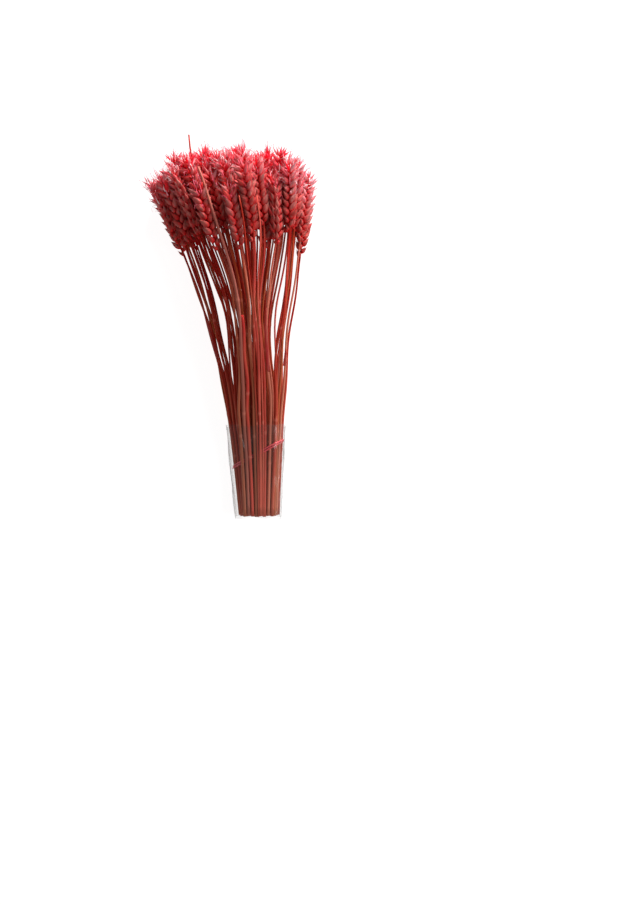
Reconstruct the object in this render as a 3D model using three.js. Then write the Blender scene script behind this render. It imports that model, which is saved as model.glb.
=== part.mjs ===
// A tied bunch of dyed, dried wheat, lying on its side on a table.
// Millimetres. X runs across the bunch, Y from the cut ends to the ears, and Z up from the table.
// Every stalk is one straw with its ear, grown as one piece. The stalks lie in layers: within a layer
// they fan out side by side and never cross, and stalks of different layers cross above one another.
import * as THREE from "three";

// Straw and ear
const STRAW_BASE_RADIUS = 1.9;
const STRAW_NECK_RADIUS = 1.3;
const NECK_Y = 340;
const EAR_RADIUS = 7;
const EAR_LENGTH = 80;
const EAR_LENGTH_SPREAD = 8;
const STALK_SIDES = 6;
const GAP = 0.4;

// Packing of the straws at the cut ends, and of the ears at the other end
const STRAW_PITCH = 4.6;
const STRAW_LAYER_PITCH = 2 * STRAW_BASE_RADIUS + 0.5;
const EAR_LAYER_PITCH = 2 * EAR_RADIUS + GAP;
const CUT_STAGGER = 2.5;

// Fan: how the layers spread sideways and rise on the way from the cut ends to the ears
const FAN_LENGTH = 380;
const FAN_STRAIGHT_SHARE = 0.37;
const LEAN_FROM = 0.65;
const EARS_STRAIGHTEN = 0.1;
const RISE_FROM = 40;
const RISE_TO = 300;
const SWELL_LOW = { height: 4, wave: 26, phase: 0.8, fromLayer: 1 };
const SWELL_HIGH = { height: 3, wave: 19, phase: 2.1, fromLayer: 3 };

// Clump: the straws between two lines draw together half-way up. x is at y, slope is across over along.
const CLUMP = {
  left: { x: -42, slope: -0.215 },
  right: { x: 28, slope: 0.05 },
  y: 230,
  reach: 115,
  squeeze: 0.36,
  soft: 3,
};

// Crown: the line of the ear tips. The left wing of the fan stays lower than the rest.
const CROWN_TOP = 450;
const CROWN_CENTRE = -25;
const CROWN_FALL = 0.004;
const CROWN_STAGGER = 26;
const WING = { left: -90, top: 408, stagger: 0.25 };
const GOLDEN = 0.618034;

// Dry leaves, each along the top of a straw, given by its layer and its place in the layer
const LEAF_WIDTH = 4;
const LEAF_THICKNESS = 0.5;
const LEAF_ARCH = 0.6;
const LEAF_STEPS = 5;
const LEAF_ARC_STEPS = 3;
const LEAVES = [
  { layer: 4, stalk: 6, from: 174, to: 248, name: "leaf_blade_1" },
  { layer: 2, stalk: 0, from: 192, to: 236, name: "leaf_blade_2" },
  { layer: 2, stalk: 9, from: 182, to: 202, name: "leaf_blade_3" },
];

// Elastic band, slanting round the straws of all layers but the last
const BAND_RADIUS = 0.7;
const BAND_Y = 77;
const BAND_SLANT = 0.527;
const BAND_STEPS = 48;
const BAND_SLACK = 0.6;
const BAND_SIDES = 6;
const BANDED_LAYER = 4;
const OVER_BAND_LIFT = 2.5;

// Clear film sleeve round the cut ends
const FILM = 0.5;
const SLEEVE_FROM = -1.5;
const SLEEVE_LENGTH = 112;
const SLEEVE_HALF_WIDTH = { cut: 27.5, mouth: 40.5 };
const SLEEVE_HEIGHT = { cut: 33, mouth: 47 };
const SLEEVE_CORNER = { low: 3, high: 13 };
const SLEEVE_STEPS = 5;
const SLEEVE_ARC_STEPS = 5;

// Height of the lowest straws: film, band and the gaps round the band lie under them
const LOWEST_STRAW = FILM + GAP + 2 * BAND_RADIUS + BAND_SLACK + STRAW_BASE_RADIUS;

const DYED_HUSK = new THREE.MeshStandardMaterial({ color: 0xb04a4c, roughness: 0.65, metalness: 0 });
const DYED_STRAW = new THREE.MeshStandardMaterial({ color: 0x84402f, roughness: 0.55, metalness: 0 });
const DYED_LEAF = new THREE.MeshStandardMaterial({ color: 0xb53a3e, roughness: 0.6, metalness: 0 });
const PINK_RUBBER = new THREE.MeshStandardMaterial({ color: 0xb44a4d, roughness: 0.6, metalness: 0 });
const CLEAR_FILM = new THREE.MeshStandardMaterial({
  color: 0xf2f2f0, roughness: 0.12, metalness: 0, transparent: true, opacity: 0.2,
});

const fraction = (value) => value - Math.floor(value);
const smooth = (value) => THREE.MathUtils.smoothstep(value, 0, 1);

// Ears of a plain layer: evenly fanned, the tips under the crown line and staggered by the golden ratio.
function plainLayer(left, right, count, seed) {
  return Array.from({ length: count }, (_, i) => {
    const fan = left + ((right - left) * i) / (count - 1);
    const stagger = CROWN_STAGGER * fraction(GOLDEN * (i + 1) + seed);
    const crown = CROWN_TOP - CROWN_FALL * (fan - CROWN_CENTRE) ** 2 - stagger;
    const tip = fan < WING.left ? Math.min(crown, WING.top - WING.stagger * stagger) : crown;
    const longer = EAR_LENGTH_SPREAD * (fraction(GOLDEN * (3 * i + 2) + seed) - 0.5);
    return { fan, tip, ear: EAR_LENGTH + longer };
  });
}

// Ears of a layer that shows from above, each given as [fan position, tip, ear length].
const shownLayer = (ears) => ears.map(([fan, tip, ear]) => ({ fan, tip, ear }));

// Puts one more stalk into a layer, between the stalks on either side of it.
const withStalk = (stalks, added) => [...stalks, added].sort((a, b) => a.fan - b.fan);

// Layers from the table up. fan is a stalk's X at FAN_LENGTH, and tip and ear are along Y.
// A stalk with no ear is a bare straw, and one with uprightFrom turns upright from there to its tip.
const LAYERS = [
  { lean: 0, stalks: plainLayer(-118, 58, 11, 0.1) },
  { lean: 3, stalks: plainLayer(-109.2, 49.2, 10, 0.45) },
  {
    lean: 0,
    stalks: withStalk(
      plainLayer(-118, 57, 9, 0.8), { fan: -63.3, tip: 460, uprightFrom: 420, name: "bare_straw_1" },
    ),
  },
  {
    lean: -4,
    stalks: shownLayer([
      [-102, 406, 78], [-81, 431, 80], [-64, 432, 78], [-46, 441, 82], [-28, 436, 80],
      [-10, 440, 76], [8, 394, 80], [27, 438, 82], [46, 426, 84],
    ]),
  },
  {
    lean: -9,
    stalks: shownLayer([
      [-86, 414, 84], [-67, 424, 78], [-48, 412, 76], [-30, 424, 74],
      [-12, 404, 80], [5, 422, 78], [22, 400, 78], [39, 418, 80],
    ]),
  },
  {
    lean: -10,
    baseShift: -7,
    stalks: [
      { fan: -66.5, tip: 394, ear: 80 },
      { fan: -56.5, tip: 412, name: "bare_straw_2" },
      { fan: -53, tip: 239, name: "stub_straw" },
      { fan: -32, tip: 390, ear: 76 },
      { fan: -9, tip: 416, ear: 76 },
    ],
  },
];

// Where layer k's straws and ears lie above the table.
const strawHeight = (k) => LOWEST_STRAW + k * STRAW_LAYER_PITCH + (k > BANDED_LAYER ? OVER_BAND_LIFT : 0);
const earHeight = (k) => EAR_RADIUS + k * EAR_LAYER_PITCH;

// A gentle swell of the upper layers, the same for each of them, so that they stay clear of one another.
function swell(k, x) {
  return [SWELL_LOW, SWELL_HIGH].reduce((sum, s) => {
    return k < s.fromLayer ? sum : sum + s.height * (1 + Math.sin(x / s.wave + s.phase));
  }, 0);
}

// Where a straw at x, y comes to lie when its clump draws together.
function clumped(x, y) {
  const left = CLUMP.left.x + CLUMP.left.slope * (y - CLUMP.y);
  const right = CLUMP.right.x + CLUMP.right.slope * (y - CLUMP.y);
  const inside = (Math.tanh((x - left) / CLUMP.soft) - Math.tanh((x - right) / CLUMP.soft)) / 2;
  const along = Math.min(1, Math.abs(y - CLUMP.y) / CLUMP.reach);
  return x - CLUMP.squeeze * (1 - along ** 2) ** 2 * inside * (x - (left + right) / 2);
}

// A line that loses its slope evenly between two values of Y.
function upright(x, from, to) {
  const slope = x(from + 0.5) - x(from - 0.5);
  return (y) => {
    const past = Math.max(0, y - from);
    return x(Math.min(y, from)) + slope * past * (1 - past / (2 * (to - from)));
  };
}

// The centre line of a stalk, as functions of Y.
function centreLine(k, layer, i) {
  const stalk = layer.stalks[i];
  const half = (layer.stalks.length - 1) / 2;
  const base = (i - half) * STRAW_PITCH + (layer.baseShift ?? 0);
  const lean = layer.lean - EARS_STRAIGHTEN * (stalk.fan - CROWN_CENTRE);
  const fanned = (y) => {
    const t = y / FAN_LENGTH;
    const spread = FAN_STRAIGHT_SHARE * t + (1 - FAN_STRAIGHT_SHARE) * t ** 3;
    const leaning = (Math.max(0, t - LEAN_FROM) / (1 - LEAN_FROM)) ** 2;
    return clumped(base + (stalk.fan - lean - base) * spread + lean * leaning, y);
  };
  const x = stalk.uprightFrom ? upright(fanned, stalk.uprightFrom, stalk.tip) : fanned;
  const z = (y) => {
    const rise = smooth((y - RISE_FROM) / (RISE_TO - RISE_FROM));
    return strawHeight(k) + rise * (earHeight(k) - strawHeight(k) + swell(k, x(y)));
  };
  return { x, z };
}

// Straw radius along Y, from the cut end to the neck under the ear.
const strawRadius = (y) => THREE.MathUtils.mapLinear(y, 0, NECK_Y, STRAW_BASE_RADIUS, STRAW_NECK_RADIUS);

// Slides each cross-section of a straight piece sideways onto a centre line.
// A section stays in its plane of Y.
function slideOnto(geometry, line) {
  const place = geometry.getAttribute("position");
  for (let v = 0; v < place.count; v++) {
    const y = place.getY(v);
    const slope = line.x(y + 0.5) - line.x(y - 0.5);
    place.setX(v, line.x(y) + place.getX(v) * Math.hypot(1, slope));
    place.setZ(v, line.z(y) + place.getZ(v));
  }
  return geometry;
}

function namedMesh(geometry, material, name) {
  const mesh = new THREE.Mesh(geometry, material);
  mesh.name = name;
  return mesh;
}

const turnedStalk = (profile, line) => slideOnto(new THREE.LatheGeometry(profile, STALK_SIDES), line);

// Rings of the straw: closer together at the band and towards the ear, where the straws bend most.
const STRAW_RINGS = [0, 0.12, 0.2, 0.28, 0.42, 0.58, 0.74, 0.88, 0.94, 1];
// Rings of the ear: share of its length, share of its radius.
const EAR_RINGS = [[0.05, 0.6], [0.2, 0.92], [0.45, 1], [0.7, 0.92], [0.88, 0.6]];

function strawProfile(from, to) {
  const rings = STRAW_RINGS.map((share) => {
    const y = THREE.MathUtils.lerp(from, to, share);
    return new THREE.Vector2(strawRadius(y), y);
  });
  return [new THREE.Vector2(0, from), ...rings];
}

// A whole stalk: straw, then the ear as a spindle.
function earedStalk(line, stalk, cut, name) {
  const neck = stalk.tip - stalk.ear;
  const ear = EAR_RINGS.map(([along, across]) => {
    return new THREE.Vector2(EAR_RADIUS * across, neck + stalk.ear * along);
  });
  const profile = [...strawProfile(cut, neck), ...ear, new THREE.Vector2(0, stalk.tip)];
  return namedMesh(turnedStalk(profile, line), DYED_HUSK, name);
}

// A straw that has lost its ear, cut off square.
function bareStraw(line, stalk, cut, name) {
  const profile = [...strawProfile(cut, stalk.tip), new THREE.Vector2(0, stalk.tip)];
  return namedMesh(turnedStalk(profile, line), DYED_STRAW, name);
}

function stalks() {
  const group = new THREE.Group();
  let number = 0;
  LAYERS.forEach((layer, k) => {
    layer.stalks.forEach((stalk, i) => {
      const line = centreLine(k, layer, i);
      const cut = CUT_STAGGER * fraction(GOLDEN * (7 * k + i + 1));
      if (stalk.ear) {
        number += 1;
        group.add(earedStalk(line, stalk, cut, `wheat_stalk_${String(number).padStart(2, "0")}`));
      } else {
        group.add(bareStraw(line, stalk, cut, stalk.name));
      }
    });
  });
  return group;
}

// A dry leaf: an arched strip that lies along the top of its own straw.
function leafBlade({ layer, stalk, from, to, name }) {
  const half = LEAF_WIDTH / 2;
  const section = new THREE.Shape()
    .moveTo(-half, 0)
    .quadraticCurveTo(0, 2 * LEAF_ARCH, half, 0)
    .lineTo(half, LEAF_THICKNESS)
    .quadraticCurveTo(0, 2 * LEAF_ARCH + LEAF_THICKNESS, -half, LEAF_THICKNESS);
  const geometry = new THREE.ExtrudeGeometry(section, {
    depth: to - from, steps: LEAF_STEPS, curveSegments: LEAF_ARC_STEPS, bevelEnabled: false,
  });
  geometry.rotateX(Math.PI / 2).translate(0, to, 0);
  const line = centreLine(layer, LAYERS[layer], stalk);
  const above = (y) => line.z(y) + strawRadius(y) + GAP - LEAF_ARCH;
  return namedMesh(slideOnto(geometry, { x: line.x, z: above }), DYED_LEAF, name);
}

// Where the banded straws pass through the band's slanting plane, as points of X and Z.
function bandedStraws() {
  const slantY = (x) => BAND_Y + BAND_SLANT * x;
  return LAYERS.slice(0, BANDED_LAYER + 1).flatMap((layer, k) => {
    return layer.stalks.map((_, i) => {
      const line = centreLine(k, layer, i);
      const y = slantY(line.x(slantY(line.x(BAND_Y))));
      return new THREE.Vector2(line.x(y), line.z(y));
    });
  });
}

// The band is the taut loop round those straws: in each direction it lies a straw's radius outside the
// outermost straw. A torus supplies the rings, which are set on the loop one by one.
function elasticBand() {
  const straws = bandedStraws();
  const reach = STRAW_BASE_RADIUS + BAND_SLACK + BAND_RADIUS;
  const geometry = new THREE.TorusGeometry(1, 0.5, BAND_SIDES, BAND_STEPS);
  const place = geometry.getAttribute("position");
  for (let v = 0; v < place.count; v++) {
    const side = Math.floor(v / (BAND_STEPS + 1)) % BAND_SIDES;
    const step = (v % (BAND_STEPS + 1)) % BAND_STEPS;
    const turn = (2 * Math.PI * side) / BAND_SIDES;
    const way = (2 * Math.PI * step) / BAND_STEPS;
    const out = new THREE.Vector2(Math.cos(way), Math.sin(way));
    const outermost = straws.reduce((best, p) => (p.dot(out) > best.dot(out) ? p : best));
    const ring = outermost.clone().addScaledVector(out, reach);
    const vertex = ring.clone().addScaledVector(out, BAND_RADIUS * Math.cos(turn));
    place.setXYZ(v, vertex.x, BAND_Y + BAND_SLANT * ring.x - BAND_RADIUS * Math.sin(turn), vertex.y);
  }
  return namedMesh(geometry, PINK_RUBBER, "elastic_band");
}

// Outline of the sleeve at its cut end: flat on the table, with tight lower and wide upper corners.
function sleeveOutline(Kind, inset) {
  const side = SLEEVE_HALF_WIDTH.cut - inset;
  const top = SLEEVE_HEIGHT.cut - inset;
  const low = SLEEVE_CORNER.low - inset;
  const high = SLEEVE_CORNER.high - inset;
  return new Kind()
    .moveTo(-side + low, inset)
    .lineTo(side - low, inset)
    .absarc(side - low, inset + low, low, -Math.PI / 2, 0)
    .lineTo(side, top - high)
    .absarc(side - high, top - high, high, 0, Math.PI / 2)
    .lineTo(-side + high, top)
    .absarc(-side + high, top - high, high, Math.PI / 2, Math.PI)
    .lineTo(-side, inset + low)
    .absarc(-side + low, inset + low, low, Math.PI, 1.5 * Math.PI);
}

// The sleeve: a film tube that widens from the cut ends to its mouth.
function filmSleeve() {
  const outline = sleeveOutline(THREE.Shape, 0);
  outline.holes.push(sleeveOutline(THREE.Path, FILM));
  const geometry = new THREE.ExtrudeGeometry(outline, {
    depth: SLEEVE_LENGTH, steps: SLEEVE_STEPS, curveSegments: SLEEVE_ARC_STEPS, bevelEnabled: false,
  });
  const place = geometry.getAttribute("position");
  const widen = SLEEVE_HALF_WIDTH.mouth / SLEEVE_HALF_WIDTH.cut - 1;
  const heighten = SLEEVE_HEIGHT.mouth / SLEEVE_HEIGHT.cut - 1;
  for (let v = 0; v < place.count; v++) {
    const along = 1 - place.getZ(v) / SLEEVE_LENGTH;
    place.setX(v, place.getX(v) * (1 + widen * along));
    const up = place.getY(v);
    place.setY(v, up > FILM + 1e-6 ? FILM + (up - FILM) * (1 + heighten * along) : up);
  }
  geometry.rotateX(Math.PI / 2);
  geometry.translate(0, SLEEVE_FROM + SLEEVE_LENGTH, 0);
  return namedMesh(geometry, CLEAR_FILM, "film_sleeve");
}

// The part's origin is under the middle of its box, on the table.
function wheatBunch() {
  const bunch = new THREE.Group();
  bunch.add(stalks(), ...LEAVES.map(leafBlade), elasticBand(), filmSleeve());
  const middle = new THREE.Box3().setFromObject(bunch, true).getCenter(new THREE.Vector3());
  bunch.position.set(-middle.x, -middle.y, 0);
  return new THREE.Group().add(bunch);
}

export default wheatBunch();
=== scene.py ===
# %% [markdown]
# # A tied bunch of dyed wheat
# The frame holds every stalk as a plain rod with a spindle for its ear. This lesson reads each rod's line
# from the frame and grows the real thing along it: a hollow straw, then an ear of many small husks.
# Dry leaves, an elastic band and a clear film sleeve finish the bunch.

import bpy
import numpy as np
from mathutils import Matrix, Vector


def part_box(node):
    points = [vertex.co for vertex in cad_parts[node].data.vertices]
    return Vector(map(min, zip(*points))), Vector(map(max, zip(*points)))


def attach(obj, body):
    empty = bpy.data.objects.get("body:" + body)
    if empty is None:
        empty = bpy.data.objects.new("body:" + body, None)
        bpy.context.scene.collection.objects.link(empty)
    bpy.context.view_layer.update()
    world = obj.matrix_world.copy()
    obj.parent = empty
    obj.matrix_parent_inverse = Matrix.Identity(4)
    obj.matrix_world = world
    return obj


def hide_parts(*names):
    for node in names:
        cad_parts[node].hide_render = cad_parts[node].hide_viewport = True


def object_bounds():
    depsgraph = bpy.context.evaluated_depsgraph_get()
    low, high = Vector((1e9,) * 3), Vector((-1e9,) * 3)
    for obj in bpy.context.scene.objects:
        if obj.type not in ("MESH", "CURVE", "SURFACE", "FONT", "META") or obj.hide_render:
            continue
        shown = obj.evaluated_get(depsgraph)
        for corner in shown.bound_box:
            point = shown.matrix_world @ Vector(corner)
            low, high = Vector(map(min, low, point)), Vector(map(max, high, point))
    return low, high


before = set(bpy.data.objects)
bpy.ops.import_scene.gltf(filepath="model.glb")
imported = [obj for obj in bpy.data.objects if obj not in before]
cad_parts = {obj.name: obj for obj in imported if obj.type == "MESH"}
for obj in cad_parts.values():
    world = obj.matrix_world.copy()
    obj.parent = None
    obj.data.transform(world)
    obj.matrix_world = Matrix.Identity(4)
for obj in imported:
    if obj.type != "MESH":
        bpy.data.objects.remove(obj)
cad_low, cad_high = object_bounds()
print("frame:", len(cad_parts), "nodes, box", tuple(round(v, 3) for v in cad_high - cad_low), "m")

# %% [markdown]
# ## Camera
# The bunch lies on a table, and the picture is taken from straight above, with the ears at the top.
# A camera with no rotation looks down the Z axis already, so only its place and its lens are needed.
# Its place is measured from the middle of the film sleeve's cut edge.

# %% Place the camera
MM = 0.001
CAMERA_HEIGHT = 1.7
CAMERA_FROM_SLEEVE = (74.4 * MM, 79.5 * MM)
LENS = 55.03

sleeve_low, sleeve_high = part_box("film_sleeve")
camera = bpy.data.objects.new("camera", bpy.data.cameras.new("camera"))
camera.data.lens = LENS
camera.location = (
    (sleeve_low.x + sleeve_high.x) / 2 + CAMERA_FROM_SLEEVE[0],
    sleeve_low.y + CAMERA_FROM_SLEEVE[1],
    CAMERA_HEIGHT,
)
bpy.context.scene.collection.objects.link(camera)
bpy.context.scene.camera = camera
print("camera over", tuple(round(v, 3) for v in camera.location))

# %% [markdown]
# ## Light and floor
# Daylight falls on the ears from their own end of the table, low and broad, so that the tips glow and
# the backs of the husks stay dusky. A weaker lamp at the right gives every straw a bright side and a dark
# one. The floor is a studio light table: it glows a little by itself, so the shadow on it stays pale and
# the gaps between the straws stay bright.

# %% Floor
def add_object(name, data):
    """A new object at the origin that shows this data."""
    made = bpy.data.objects.new(name, data)
    bpy.context.scene.collection.objects.link(made)
    return made


FLOOR_HALF = 6.0
FLOOR_DROP = 0.3 * MM
FLOOR_GLOW = 0.9
floor_mesh = bpy.data.meshes.new("floor")
corners = np.array([[-1, -1, 0], [1, -1, 0], [1, 1, 0], [-1, 1, 0]]) * FLOOR_HALF - [0, 0, FLOOR_DROP]
floor_mesh.from_pydata(corners.tolist(), [], [(0, 1, 2, 3)])
floor = add_object("floor", floor_mesh)
table_top = bpy.data.materials.new("light_table")
table_top.use_nodes = True
glow = table_top.node_tree.nodes["Principled BSDF"].inputs
glow["Base Color"].default_value = (0.35, 0.35, 0.35, 1)
glow["Roughness"].default_value = 0.9
glow["Emission Color"].default_value = (1, 1, 1, 1)
glow["Emission Strength"].default_value = FLOOR_GLOW
floor_mesh.materials.append(table_top)
print("floor: a square of", 2 * FLOOR_HALF, "m")

# %% Sky and lamps
SKY_STRENGTH = 0.27
sky = bpy.data.worlds.new("sky")
sky.use_nodes = True
sky.node_tree.nodes["Background"].inputs["Color"].default_value = (1, 0.99, 0.98, 1)
sky.node_tree.nodes["Background"].inputs["Strength"].default_value = SKY_STRENGTH
bpy.context.scene.world = sky
bpy.context.scene.view_settings.view_transform = "Standard"


def broad_lamp(name, place, target, size, watts):
    """A broad square lamp at a place, facing a target."""
    lamp = bpy.data.lights.new(name, "AREA")
    lamp.size = size
    lamp.energy = watts
    made = add_object(name, lamp)
    made.location = place
    towards = np.subtract(target, place)
    flat = np.hypot(towards[0], towards[1])
    made.rotation_euler = (np.arctan2(flat, -towards[2]), 0, np.arctan2(-towards[0], towards[1]))


broad_lamp("window_light", place=(0.5, 1.5, 0.24), target=(0, 0.17, 0.04), size=0.44, watts=60)
broad_lamp("room_light", place=(1.2, -0.2, 1.05), target=(0, 0, 0.03), size=0.5, watts=10.5)

# %% [markdown]
# ## Lines of the stalks
# In the frame every cross-section of a stalk lies flat in a plane of constant Y. So the sections can be
# told apart by their Y alone, and the middle of each one is a point of the stalk's line. A cubic curve
# through those points gives back the smooth bend that the few sections only hint at.

# %% Cross-sections of a frame node
SECTION_DECIMALS = 5


def node_points(node):
    """All points of a frame node."""
    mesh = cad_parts[node].data
    points = np.empty(len(mesh.vertices) * 3, np.float32)
    mesh.vertices.foreach_get("co", points)
    return points.reshape(-1, 3).astype(float)


def sections(node):
    """Y of each flat section of a node, with the middle (x, z) and the half size (x, z) of its box."""
    points = node_points(node)
    level, which = np.unique(np.round(points[:, 1], SECTION_DECIMALS), return_inverse=True)
    low = np.full((len(level), 2), np.inf)
    high = np.full((len(level), 2), -np.inf)
    np.minimum.at(low, which, points[:, [0, 2]])
    np.maximum.at(high, which, points[:, [0, 2]])
    return level, (low + high) / 2, (high - low) / 2


def unit(vectors):
    """Each vector divided by its length."""
    return vectors / np.linalg.norm(vectors, axis=-1, keepdims=True)


# %% A smooth line, and one for every stalk
SLOPE_STEP = 0.2 * MM


class Line:
    """A smooth line through sections, asked by Y.

    Between two sections it is the cubic with the given ends and end slopes, and a section's slope is the
    mean of the slopes beside it.
    """

    def __init__(self, level, middle, half):
        self.level, self.middle, self.half = level, middle, half
        self.slope = np.gradient(middle, level, axis=0)

    def points(self, y):
        """Points of the line at each Y: end points and end slopes weighted by the four cubics of t."""
        i = np.clip(np.searchsorted(self.level, y) - 1, 0, len(self.level) - 2)
        span = (self.level[i + 1] - self.level[i])[:, None]
        t = (y - self.level[i])[:, None] / span
        start = (2 * t**3 - 3 * t**2 + 1) * self.middle[i] + (t**3 - 2 * t**2 + t) * span * self.slope[i]
        end = (3 * t**2 - 2 * t**3) * self.middle[i + 1] + (t**3 - t**2) * span * self.slope[i + 1]
        across = start + end
        return np.column_stack([across[:, 0], y, across[:, 1]])

    def axes(self, y):
        """Along the line, level to its right, and up from it."""
        along = unit(self.points(y + SLOPE_STEP) - self.points(y - SLOPE_STEP))
        right = unit(np.cross(along, [0, 0, 1]))
        return along, right, np.cross(right, along)

    def radius(self, y):
        """Half the section's height, which is the rod's radius."""
        return np.interp(y, self.level, self.half[:, 1])


EARED = sorted(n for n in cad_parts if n.startswith("wheat_stalk"))
BARE = sorted(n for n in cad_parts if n.endswith("straw") or n.startswith("bare_straw"))
LEAVES = sorted(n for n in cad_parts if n.startswith("leaf_blade"))
lines = {name: Line(*sections(name)) for name in EARED + BARE + LEAVES}
print("lines:", len(EARED), "stalks with ears,", len(BARE), "straws without,", len(LEAVES), "leaves")

# %% [markdown]
# ## Closed tubes
# A straw, a husk, an awn and a leaf are the same surface: a pole, rings of points, and a pole at the other
# end. Bevelled curves would give tubes too, but with one section all along, and these swell, flatten and
# taper. One function numbers the faces of any count of such tubes, and one more puts surfaces into a
# mesh, with a UV map that runs around and along each tube, and a few values that the finishes read.

# %% Faces of tubes
def tube_faces(tubes, rings, sides, along):
    """Quads and end triangles of equal tubes, with the UV of every corner.

    A tube's points are a pole, ring after ring, and a pole. along holds v at the first pole, at each
    ring and at the last pole. u is the share of the way round.
    """
    ring = 1 + sides * np.arange(rings)[:, None] + np.arange(sides)
    after = np.roll(ring, -1, axis=1)
    quads = np.stack([ring[:-1], ring[1:], after[1:], after[:-1]], axis=-1).reshape(-1, 4)
    first = np.stack([np.zeros(sides, int), ring[0], after[0]], axis=-1)
    last = np.stack([np.full(sides, rings * sides + 1), after[-1], ring[-1]], axis=-1)
    u = np.arange(sides) / sides
    v = np.broadcast_to(np.asarray(along, float)[1:-1, None], ring.shape)
    left = np.stack([np.broadcast_to(u, ring.shape), v], axis=-1)
    right = left + [1 / sides, 0]
    quad_uv = np.stack([left[:-1], left[1:], right[1:], right[:-1]], axis=2).reshape(-1, 4, 2)
    middle = u + 0.5 / sides
    first_uv = np.stack([np.stack([middle, np.full(sides, along[0])], -1), left[0], right[0]], axis=1)
    last_uv = np.stack([np.stack([middle, np.full(sides, along[-1])], -1), right[-1], left[-1]], axis=1)
    step = (rings * sides + 2) * np.arange(tubes)[:, None, None]
    triangles = np.concatenate([first, last])
    triangle_uv = np.concatenate([first_uv, last_uv])
    return {
        "quads": (quads + step).reshape(-1, 4),
        "triangles": (triangles + step).reshape(-1, 3),
        "quad_uv": np.tile(quad_uv, (tubes, 1, 1)),
        "triangle_uv": np.tile(triangle_uv, (tubes, 1, 1)),
    }


# %% A piece from surfaces
def new_piece(name, surfaces, slot, *nodes):
    """One object of several surfaces, which stands for these frame nodes, if any. The slot argument is not
    used.

    A surface has points, faces as from tube_faces, a material, and values: a number for each point by name.
    """
    shift = np.cumsum([0] + [len(s["points"]) for s in surfaces])
    materials = list(dict.fromkeys(s["material"] for s in surfaces))
    faces, uv, finish = [], [], []
    for s, start in zip(surfaces, shift):
        faces += (s["quads"] + start).tolist() + (s["triangles"] + start).tolist()
        uv += [s["quad_uv"].reshape(-1, 2), s["triangle_uv"].reshape(-1, 2)]
        finish.append(np.full(len(s["quads"]) + len(s["triangles"]), materials.index(s["material"])))
    mesh = bpy.data.meshes.new(name)
    mesh.from_pydata(np.concatenate([s["points"] for s in surfaces]).tolist(), [], faces)
    mesh.uv_layers.new(name="skin").data.foreach_set("uv", np.concatenate(uv).ravel())
    for value in surfaces[0]["values"]:
        numbers = np.concatenate([s["values"][value] for s in surfaces])
        mesh.attributes.new(value, "FLOAT", "POINT").data.foreach_set("value", numbers)
    for material in materials:
        mesh.materials.append(material)
    mesh.polygons.foreach_set("material_index", np.concatenate(finish))
    mesh.shade_smooth()
    made = add_object(name, mesh)
    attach(made, "root")
    if nodes:
        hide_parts(*nodes)
    return made


# %% [markdown]
# ## Words for wiring a finish
# A finish is a small graph of nodes. These helpers keep the graphs short: a node takes its inputs by name,
# and an input may be a plain value or another node's socket.

# %% Helpers for materials
class Finish:
    """A material with one Principled shader, and short words to wire nodes to it."""

    def __init__(self, name):
        self.material = bpy.data.materials.new(name)
        self.material.use_nodes = True
        self.tree = self.material.node_tree
        self.shader = self.tree.nodes["Principled BSDF"]

    def put(self, node, inputs):
        """Links each input to a socket, or sets it to a plain value."""
        for key, value in inputs.items():
            if isinstance(value, bpy.types.NodeSocket):
                self.tree.links.new(value, node.inputs[key])
            else:
                node.inputs[key].default_value = value

    def node(self, kind, inputs=None, **settings):
        """A new node of a kind, with its inputs and settings."""
        made = self.tree.nodes.new("ShaderNode" + kind)
        for key, value in settings.items():
            setattr(made, key, value)
        self.put(made, inputs or {})
        return made

    def value(self, name):
        """A number that the mesh holds for each point."""
        return self.node("Attribute", attribute_name=name).outputs["Fac"]

    def math(self, operation, a, b=0.0, c=0.0):
        """One sum on up to three numbers."""
        return self.node("Math", {0: a, 1: b, 2: c}, operation=operation).outputs[0]

    def mix(self, share, a, b):
        """Colour a, going over to colour b by the share."""
        made = self.node("Mix", {0: share, 6: a, 7: b}, data_type="RGBA")
        return made.outputs[2]

    def ramp(self, share, *stops):
        """A colour that runs through the stops, each a place from 0 to 1 and a colour."""
        made = self.node("ValToRGB", {"Fac": share})
        while len(made.color_ramp.elements) < len(stops):
            made.color_ramp.elements.new(1)
        for element, (place, colour) in zip(made.color_ramp.elements, stops):
            element.position = place
            element.color = (*colour, 1)
        return made.outputs["Color"]

    def noise(self, vector, detail=2.0):
        """A soft pattern from 0 to 1, about 0.5 on average."""
        return self.node("TexNoise", {"Vector": vector, "Scale": 1.0, "Detail": detail}).outputs["Fac"]

    def skin(self, around, along, shift=0.0):
        """The mesh's own UV stretched by two factors, with a shift as its third part."""
        uv = self.node("SeparateXYZ", {0: self.node("UVMap", uv_map="skin").outputs[0]})
        u = self.math("MULTIPLY", uv.outputs[0], around)
        v = self.math("MULTIPLY", uv.outputs[1], along)
        return self.node("CombineXYZ", {0: u, 1: v, 2: shift}).outputs[0]

    def shared(self, share, other):
        """Gives a share of the surface to another shader."""
        both = self.node("MixShader", {0: share, 1: self.shader.outputs[0], 2: other.outputs[0]})
        self.tree.links.new(both.outputs[0], self.tree.nodes["Material Output"].inputs["Surface"])

    def bump(self, height, strength, distance):
        """Lets a pattern tilt the surface a little, as fine relief."""
        made = self.node("Bump", {"Height": height, "Strength": strength, "Distance": distance})
        self.put(self.shader, {"Normal": made.outputs[0]})
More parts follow.
